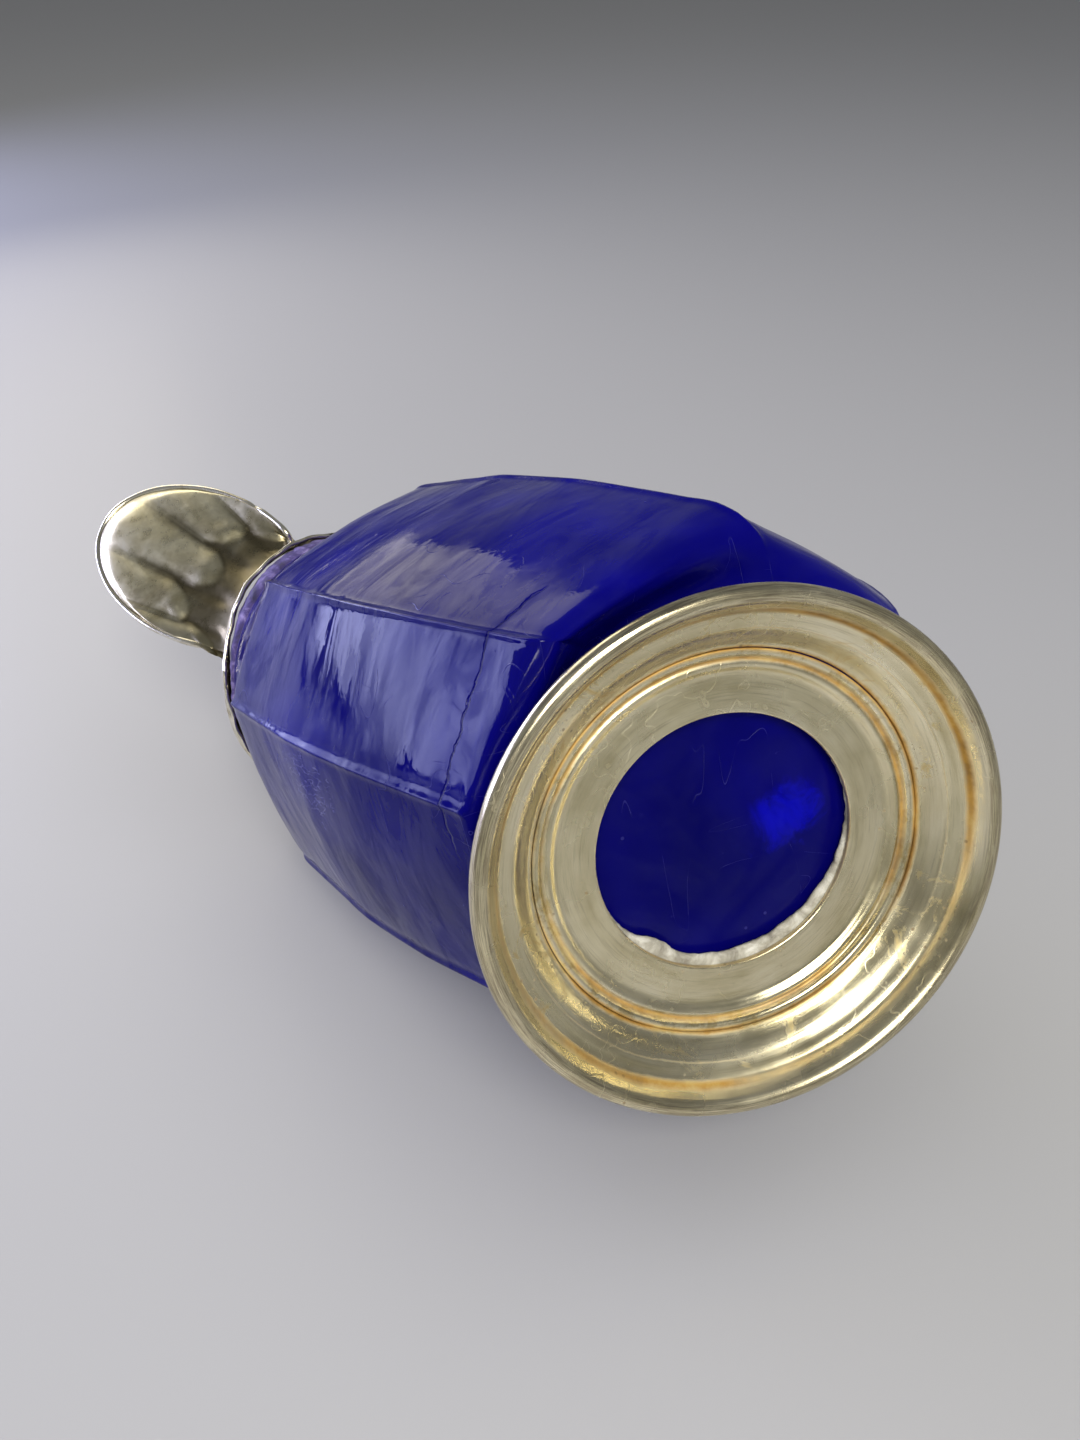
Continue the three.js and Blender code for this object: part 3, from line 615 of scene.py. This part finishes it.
spun(
    "foot_plate",
    [
        (25.0, 12.0), (25.15, 11.75), (26.0, 11.7), (29.0, 11.72), (32.0, 11.7), (32.9, 11.45), (33.6, 10.9), (34.2, 10.65), (34.8, 10.85), (35.15, 11.05),
        (35.5, 10.7), (35.9, 9.95), (36.4, 9.6), (36.9, 9.65), (37.22, 9.6),
        (37.22, 10.6), (36.8, 10.75), (36.4, 11.0), (36.1, 11.8), (35.2, 12.25), (34.2, 12.2), (33.4, 12.8), (32.0, 12.95), (29.0, 12.95), (26.0, 12.95), (25.1, 12.9), (25.0, 12.6),
    ],
    MAT_FOOT,
    "foot_seat",
    wobble=0.05,
    seed=7.0,
)


def build_foot_cement():
    seg = 260
    a = np.linspace(0, 2 * np.pi, seg, endpoint=False)
    side = np.clip(np.cos(np.clip((a - 1.42) * 1.0, -1.57, 1.57)), 0, 1) ** 1.2
    blob = np.exp(-(((a - 2.22) / 0.17) ** 2))
    rows = []
    prof = [(0, 13.3), (1.5, 13.15), (4, 13.12), (7, 13.2), (8.2, 14.0), (7.5, 15.2), (4, 15.35), (1.5, 15.35), (0.35, 15.2), (-0.35, 14.6), (-0.5, 13.9)]
    for dr, z in prof:
        inner = 25.9 - 2.3 * side - 1.6 * blob
        t = dr / 8.2
        r = np.where(dr <= 1.5, inner + dr, inner * (1 - t) + 26.0 * t + dr)
        rows.append(np.stack([r * np.cos(a), r * np.sin(a), np.full(seg, z)], -1) / 1000)
    P = np.array(rows)
    P2 = []
    for j in range(len(P)):
        q = P[(j + 1) % len(P)]
        P2 += [P[j], P[j] * 0.5 + q * 0.5]
    P = np.array(P2)
    w = lumps(P, 0.0028, 21.0, 3)
    out = P.copy()
    out[..., :2] *= 1 + (w * 0.45 / 1000 / 0.026)[..., None]
    out[..., 2] = np.clip(out[..., 2] + lumps(P, 0.003, 31.0, 3) * 0.12 / 1000, 0.01305, 0.01545)
    return skin("foot_cement_ring", out, material=MAT_CEMENT, node="foot_cement")


build_foot_cement()

# ---------------------------------------------------------------- mouthpiece
COLLAR_S = 149.6
COLLAR_R = 35.5
RIM_X = (0.468, 0.853, -0.19, 0.159)
RIM_Y = (0.591, -0.16, 0.22, -0.015)
RIM_S = (3.344, 0.311, 0.251, 0.163)
RIM_MIN_S = 3.13
RIM_MIN_R = 0.71
FRONT = RID * math.cos(LIP_TURN) + RID2 * math.sin(LIP_TURN)
SIDE = np.cross(AXD, FRONT)


def soft_max(a, b, k):
    """Larger of a and b, rounded over k."""
    h = np.clip(0.5 + 0.5 * (a - b) / k, 0, 1)
    return b * (1 - h) + a * h + k * h * (1 - h)


def rim_polar(t):
    u = np.arctan2(np.sin(t), np.cos(t))
    x = RIM_X[0] + sum(RIM_X[k] * np.cos(k * u) for k in (1, 2, 3))
    y = sum(RIM_Y[k - 1] * np.sin(k * u) for k in (1, 2, 3, 4))
    ang = np.where(np.abs(u) > 3.1415, u, np.arctan2(y, x))
    return ang + (t - u), soft_max(np.hypot(x, y), RIM_MIN_R, 0.06) * 50, u


def rim_s(t):
    return 50 * soft_max(RIM_S[0] + sum(RIM_S[k] * np.cos(k * t) for k in (1, 2, 3)), RIM_MIN_S, 0.06)


def lip_low(a):
    """Lower edge of the collar; a is measured from FRONT."""
    return COLLAR_S + rise(a + LIP_TURN)


def spout_point(t, v, out=0.0):
    """Point of the mouthpiece; out moves it away from the axis, in mm."""
    ang, rad, u = rim_polar(t)
    base = ang + (t - ang) * 0.15
    w = np.clip(v - 0.02, 0, 1) / 0.98
    g = 0.5 * w + 0.5 * smooth(w)
    a = base + (ang - base) * g
    r = COLLAR_R + (rad - COLLAR_R) * g + out
    s0 = lip_low(base)
    s = s0 + (rim_s(t) - s0) * v
    fade = (1 - smooth(v))[..., None] * NECK_OFF
    return on_axis(s / 1000) + fade + (r / 1000)[..., None] * (np.cos(a)[..., None] * FRONT + np.sin(a)[..., None] * SIDE)


def lobes(t, v):
    """Long teardrop lobes on the lip, shallower flutes round the back. Millimetres."""
    u = np.arctan2(np.sin(t), np.cos(t))
    out = np.zeros(np.broadcast(t, v).shape)
    centres = [-64, -42, -21, 1, 23, 45, 68]
    starts = [0.36, 0.22, 0.34, 0.20, 0.32, 0.22, 0.36]
    for c, v0 in zip(centres, starts):
        x = (u - math.radians(c)) / math.radians(11.6)
        # a lobe starts in a round end and then keeps its width to the rim
        width = np.sqrt(np.clip((v - v0) / 0.13, 0.0, 1.0) + 1e-9)
        xx = x / np.maximum(width, 0.05)
        prof = np.clip(1 - xx**2, 0, 1) ** 0.6
        out += 0.85 * prof * smooth((v - v0) / 0.10) * smooth((0.99 - v) / 0.12)
        # the lobe stands up most at its round end
        out += 0.45 * prof * np.exp(-(((v - v0 - 0.09) / 0.08) ** 2))
    back = smooth((np.abs(u) - 1.35) / 0.3)
    out += back * 0.45 * (0.5 + 0.5 * np.cos(14 * u)) * smooth((v - 0.25) / 0.3) * smooth((0.98 - v) / 0.2)
    # creases that run on from between the lobes to the collar
    out -= (1 - back) * 0.5 * (0.5 + 0.5 * np.cos(math.pi * 2 * (np.degrees(u) - 1 + 10.9) / 21.8)) ** 2 * smooth((v - 0.03) / 0.12) * smooth((0.95 - v) / 0.5)
    return out


def build_mouth():
    n_ = 420
    t = np.linspace(0, 2 * np.pi, n_, endpoint=False)
    # even steps along the rim
    ang, rad, _ = rim_polar(t)
    q = spout_point(t, np.ones(n_))
    seg = np.linalg.norm(np.roll(q, -1, 0) - q, axis=1)
    cum = np.concatenate([[0], np.cumsum(0.6 * seg / seg.sum() + 0.4 / n_)])
    t = np.interp(np.linspace(0, 1, n_, endpoint=False), cum / cum[-1], np.append(t, 2 * np.pi))
    vs = np.concatenate([np.linspace(0.0, 0.1, 7)[:-1], np.linspace(0.1, 1.0, 52)])
    rows_out, rows_in, relief = [], [], []
    for v in vs:
        vv = np.full(n_, v)
        bulge = lobes(t, vv)
        flare = 0.9 * (1 - smooth(v / 0.035))
        P = spout_point(t, vv, bulge + flare)
        rows_out.append(P)
        relief.append(bulge)
        th = 0.85
        rows_in.append(spout_point(t, vv, bulge - th + flare * 0.8))
    rows = rows_out + rows_in[::-1]
    P = np.array(rows)
    w = lumps(P, 0.011, 41.0, 2)
    rad_dir = P - mid((P - AX0) @ AXD, 0.5)
    rad_dir -= (rad_dir @ AXD)[..., None] * AXD
    rad_dir /= np.linalg.norm(rad_dir, axis=2, keepdims=True)
    # both faces of the sheet move together
    half = len(rows_out)
    w[half:] = w[:half][::-1]
    P = P + rad_dir * (w * 0.14 / 1000)[..., None]
    wav = 0.20 * np.sin(9 * t + 1.0) + 0.16 * np.sin(23 * t) + 0.1 * np.sin(37 * t + 2)
    edge = np.zeros(len(rows))
    edge[:3] = (1, 0.7, 0.3)
    edge[-3:] = (0.3, 0.7, 1)
    P = P + (edge[:, None] * wav[None] / 1000)[..., None] * AXD
    relief = relief + relief[::-1]
    skin("mouthpiece", P, material=MAT_MOUTH, node="mouth_shell", relief=np.array(relief))
    # bead wire along the rim
    ring = []
    q = spout_point(t, np.ones(n_), -0.42)
    tan = np.roll(q, -1, 0) - np.roll(q, 1, 0)
    tan /= np.linalg.norm(tan, axis=1, keepdims=True)
    nr = q - on_axis((q - AX0) @ AXD)
    nr -= tan * (nr * tan).sum(1, keepdims=True)
    nr /= np.linalg.norm(nr, axis=1, keepdims=True)
    e = np.cross(nr, tan)
    e *= np.sign((e * AXD).sum(1).mean())
    # the wire's size varies a little, with a notch where it was joined
    u = np.arctan2(np.sin(t), np.cos(t))
    notch = np.exp(-(((u - math.radians(50)) / 0.03) ** 2))
    size = (0.95 + 0.07 * np.sin(5 * t) + 0.05 * np.sin(23 * t) - 0.35 * notch) / 1000
    k = 14
    for j in range(k):
        b = 2 * np.pi * j / k
        ring.append(q + nr * (size * math.cos(b) * 1.0 + 0.00012)[:, None] + e * (size * math.sin(b) * 0.85 + 0.00062)[:, None])
    skin("lip_bead", np.array(ring), material=MAT_BEAD, node="lip_wire")
    # turned lower edge: a thin bright roll under the collar
    base_a = t
    s0 = lip_low(base_a)
    wob = 0.20 * np.sin(9 * t + 1.0) + 0.16 * np.sin(23 * t) + 0.1 * np.sin(37 * t + 2)
    rr = COLLAR_R + 0.62 + 0.18 * np.sin(11 * t + 2) + 0.12 * np.sin(29 * t)
    roll = []
    for j in range(12):
        b = 2 * np.pi * j / 12
        s = s0 - 0.12 + wob + 0.48 * math.sin(b)
        r = rr + 0.62 * math.cos(b)
        roll.append(mid(s / 1000, 1.0) + (r / 1000)[:, None] * (np.cos(base_a)[:, None] * FRONT + np.sin(base_a)[:, None] * SIDE))
    skin("collar_edge", np.array(roll), material=MAT_BEAD)


build_mouth()


def axis_rings(loop, seg):
    a = np.linspace(0, 2 * np.pi, seg, endpoint=False)
    rows = []
    for s, r, up in loop:
        rows.append(mid((s + up * rise(a)) / 1000, 1.0) + (r / 1000) * (np.cos(a)[:, None] * RID + np.sin(a)[:, None] * RID2))
    return np.array(rows)


def build_neck():
    loop = [(130, 30.6, 0), (136, 30.6, 0), (142, 30.6, 0), (146.5, 30.6, 0), (147.8, 30.62, 0.95), (149.0, 31.1, 0.95), (149.9, 31.7, 0.92), (150.8, 32.35, 0.84), (151.5, 32.8, 0.75), (152.2, 33.05, 0.65), (152.9, 33.15, 0.58),
            (153.25, 32.95, 0.55), (153.25, 32.5, 0.55), (152.9, 32.25, 0.58), (152.3, 32.1, 0.65), (151.5, 31.55, 0.8), (150.5, 30.7, 0.95), (149.4, 29.95, 0.95), (148.2, 29.7, 0.95), (146.5, 29.7, 0), (142, 29.7, 0), (136, 29.7, 0), (130.2, 29.7, 0), (129.9, 30.15, 0)]
    P = axis_rings(loop, 200)
    w = lumps(P, 0.01, 51.0, 2)
    ctr = mid((P - AX0) @ AXD, 1.0)
    d = P - ctr
    P = ctr + d * (1 + (w * 0.06 / 30.0))[..., None]
    # relief 0.25 gives the neck tube part of the mouthpiece's painted crease shade
    skin("neck_tube", P, material=MAT_MOUTH, node="neck_sleeve", relief=np.full(P.shape[:2], 0.25))
    loop = [(147.0, 31.1, 0.0), (147.0, 32.6, 0.0), (147.05, 34.0, 0.03), (147.3, 34.95, 0.2), (147.6, 35.4, 0.4), (147.9, 35.55, 0.55), (148.2, 35.5, 0.7), (148.6, 35.35, 0.85), (149.05, 34.9, 1.0), (149.1, 33.6, 1.0), (148.4, 32.6, 0.6), (147.7, 31.25, 0.1)]
    P = axis_rings(loop, 360)
    w = lumps(P, 0.0034, 61.0, 3)
    ctr = mid((P - AX0) @ AXD, 1.0)
    d = P - ctr
    out = np.array([0.2, 0.5, 0.9, 1, 1, 1, 1, 1, 0.6, 0.3, 0.1, 0.1])[:, None]
    P = ctr + d * (1 + w * out * 0.45 / 34)[..., None]
    skin("neck_cement_ring", P, material=MAT_NECK_CEMENT, node="neck_cement")


build_neck()

# ---------------------------------------------------------------- floor, light, camera
CAM_POS = ORIGIN + np.array([-1.4666, -1.79479, -3.38242]) * R
RIGHT = np.array([0.96382, 0.09512, -0.24901])
DOWN = np.array([-0.16499, 0.9466, -0.27701])
FWD = np.array([0.20936, 0.30807, 0.92804])
PITCH = math.radians(37)
UP = -math.cos(PITCH) * DOWN - math.sin(PITCH) * FWD  # away from the surface that it lies on
UP /= np.linalg.norm(UP)
AHEAD = FWD - UP * (FWD @ UP)
AHEAD /= np.linalg.norm(AHEAD)
LEFT = np.cross(UP, AHEAD)


def stage_sheet(name, corner_pts, material, cuts=0):
    mesh = bpy.data.meshes.new(name)
    mesh.from_pydata([tuple(p) for p in corner_pts], [], [(0, 1, 2, 3)])
    mesh.update()
    mesh.materials.append(material)
    ob = bpy.data.objects.new(name, mesh)
    bpy.context.scene.collection.objects.link(ob)
    return ob


def floor_material(name, camera_only):
    m = bpy.data.materials.new(name)
    m.use_nodes = True
    nt = m.node_tree
    nt.nodes.clear()
    out = nt.nodes.new("ShaderNodeOutputMaterial")
    b = nt.nodes.new("ShaderNodeBsdfPrincipled")
    b.inputs["Base Color"].default_value = (0.40, 0.40, 0.41, 1)
    b.inputs["Roughness"].default_value = 0.45
    clear = nt.nodes.new("ShaderNodeBsdfTransparent")
    geo = nt.nodes.new("ShaderNodeNewGeometry")
    mix = nt.nodes.new("ShaderNodeMixShader")
    fac = geo.outputs["Backfacing"]
    if camera_only:
        lp = nt.nodes.new("ShaderNodeLightPath")
        inv = nt.nodes.new("ShaderNodeMath")
        inv.operation = "SUBTRACT"
        inv.inputs[0].default_value = 1.0
        nt.links.new(lp.outputs["Is Camera Ray"], inv.inputs[1])
        mx = nt.nodes.new("ShaderNodeMath")
        mx.operation = "MAXIMUM"
        nt.links.new(fac, mx.inputs[0])
        nt.links.new(inv.outputs[0], mx.inputs[1])
        fac = mx.outputs[0]
    nt.links.new(fac, mix.inputs[0])
    nt.links.new(b.outputs[0], mix.inputs[1])
    nt.links.new(clear.outputs[0], mix.inputs[2])
    nt.links.new(mix.outputs[0], out.inputs[0])
    return m


# lowest point of the object towards the surface it lies on
low = 1e9
dg = bpy.context.evaluated_depsgraph_get()
for name in ("carafe_glass", "foot_shell", "mouthpiece", "lip_bead"):
    ob = bpy.data.objects[name]
    co = np.empty(len(ob.data.vertices) * 3)
    ob.data.vertices.foreach_get("co", co)
    low = min(low, float((co.reshape(-1, 3) @ UP).min()))
low -= 0.0004
foot_on = ORIGIN - UP * (ORIGIN @ UP - low)
a0 = foot_on - AHEAD * 0.8
b0 = foot_on + AHEAD * 7.0
quad = [a0 + LEFT * 5, b0 + LEFT * 5, b0 - LEFT * 5, a0 - LEFT * 5]
nq = np.cross(np.array(quad[1]) - quad[0], np.array(quad[2]) - quad[0])
if nq @ UP < 0:
    quad = quad[::-1]
stage_sheet("lying_floor", quad, floor_material("pale_floor", False))
stage_sheet("standing_floor", [(-3, -3, -0.0002), (3, -3, -0.0002), (3, 3, -0.0002), (-3, 3, -0.0002)], floor_material("pale_floor_upright", True))


def area(name, direction, distance, w, h, power, colour=(1, 1, 1), at=None, shift=0.0):
    target = ORIGIN + np.array([-0.01, -0.01, 0.07]) if at is None else at
    d = np.array(direction, float)
    d /= np.linalg.norm(d)
    pos = target + d * distance
    lamp = bpy.data.lights.new(name, "AREA")
    lamp.shape = "RECTANGLE"
    lamp.size = w
    lamp.size_y = h
    lamp.energy = power
    lamp.color = colour
    ob = bpy.data.objects.new(name, lamp)
    z = d
    y = UP - z * (UP @ z)
    if np.linalg.norm(y) < 1e-3:
        y = AHEAD
    y = y / np.linalg.norm(y)
    x = np.cross(y, z)
    pos = pos + x * shift
    ob.matrix_world = Matrix([[x[0], y[0], z[0], pos[0]], [x[1], y[1], z[1], pos[1]], [x[2], y[2], z[2], pos[2]], [0, 0, 0, 1]])
    bpy.context.scene.collection.objects.link(ob)
    return ob


def dirn(left, up, ahead):
    return LEFT * left + UP * up + AHEAD * ahead


def from_cam(x, y, z):
    """Direction in the camera's own terms: right, down, ahead."""
    return RIGHT * x + DOWN * y + FWD * z


area("window_left", (-0.70, -0.40, 0.60), 1.1, 1.2, 0.36, 13.0, (0.58, 0.61, 1.0), shift=0.22)
area("key_behind", from_cam(0.04, -0.13, -0.99), 1.0, 0.46, 0.46, 9.0, (1.0, 0.97, 0.88))
area("side_soft", from_cam(-0.55, -0.78, 0.30), 0.60, 0.42, 0.42, 1.1, (1.0, 0.93, 0.76), at=ORIGIN + on_axis(0.172) + RID * 0.03)
top = area("top_soft", UP, 1.3, 1.6, 1.6, 9.0, (1.0, 0.99, 0.97))
top.visible_glossy = False
top.visible_transmission = False

world = bpy.data.worlds.new("soft")
bpy.context.scene.world = world
world.use_nodes = True
wt = world.node_tree
bg = wt.nodes["Background"]
coord = wt.nodes.new("ShaderNodeTexCoord")
dot = wt.nodes.new("ShaderNodeVectorMath")
dot.operation = "DOT_PRODUCT"
wt.links.new(coord.outputs["Generated"], dot.inputs[0])
dot.inputs[1].default_value = tuple(float(c) for c in UP)
wramp = wt.nodes.new("ShaderNodeValToRGB")
wt.links.new(dot.outputs["Value"], wramp.inputs[0])
el = wramp.color_ramp.elements
el[0].position = 0.0
el[0].color = (0.50, 0.50, 0.47, 1)
el[1].position = 1.0
el[1].color = (0.20, 0.21, 0.23, 1)
mid_el = el.new(0.22)
mid_el.color = (0.31, 0.31, 0.31, 1)
wt.links.new(wramp.outputs[0], bg.inputs[0])
bg.inputs[1].default_value = 0.8

cam_data = bpy.data.cameras.new("camera")
cam = bpy.data.objects.new("camera", cam_data)
bpy.context.scene.collection.objects.link(cam)
bpy.context.scene.camera = cam
cam_data.sensor_fit = "VERTICAL"
cam_data.sensor_width = 36.0
cam_data.sensor_height = 36.0
cam_data.lens = 36.0 * 1150.0 / 1440.0
cam_data.clip_start = 0.01
cam_data.clip_end = 50.0
cam.matrix_world = Matrix(
    [
        [RIGHT[0], -DOWN[0], -FWD[0], CAM_POS[0]],
        [RIGHT[1], -DOWN[1], -FWD[1], CAM_POS[1]],
        [RIGHT[2], -DOWN[2], -FWD[2], CAM_POS[2]],
        [0, 0, 0, 1],
    ]
)
bpy.context.scene.view_settings.view_transform = "Standard"
bpy.context.scene.view_settings.look = "None"
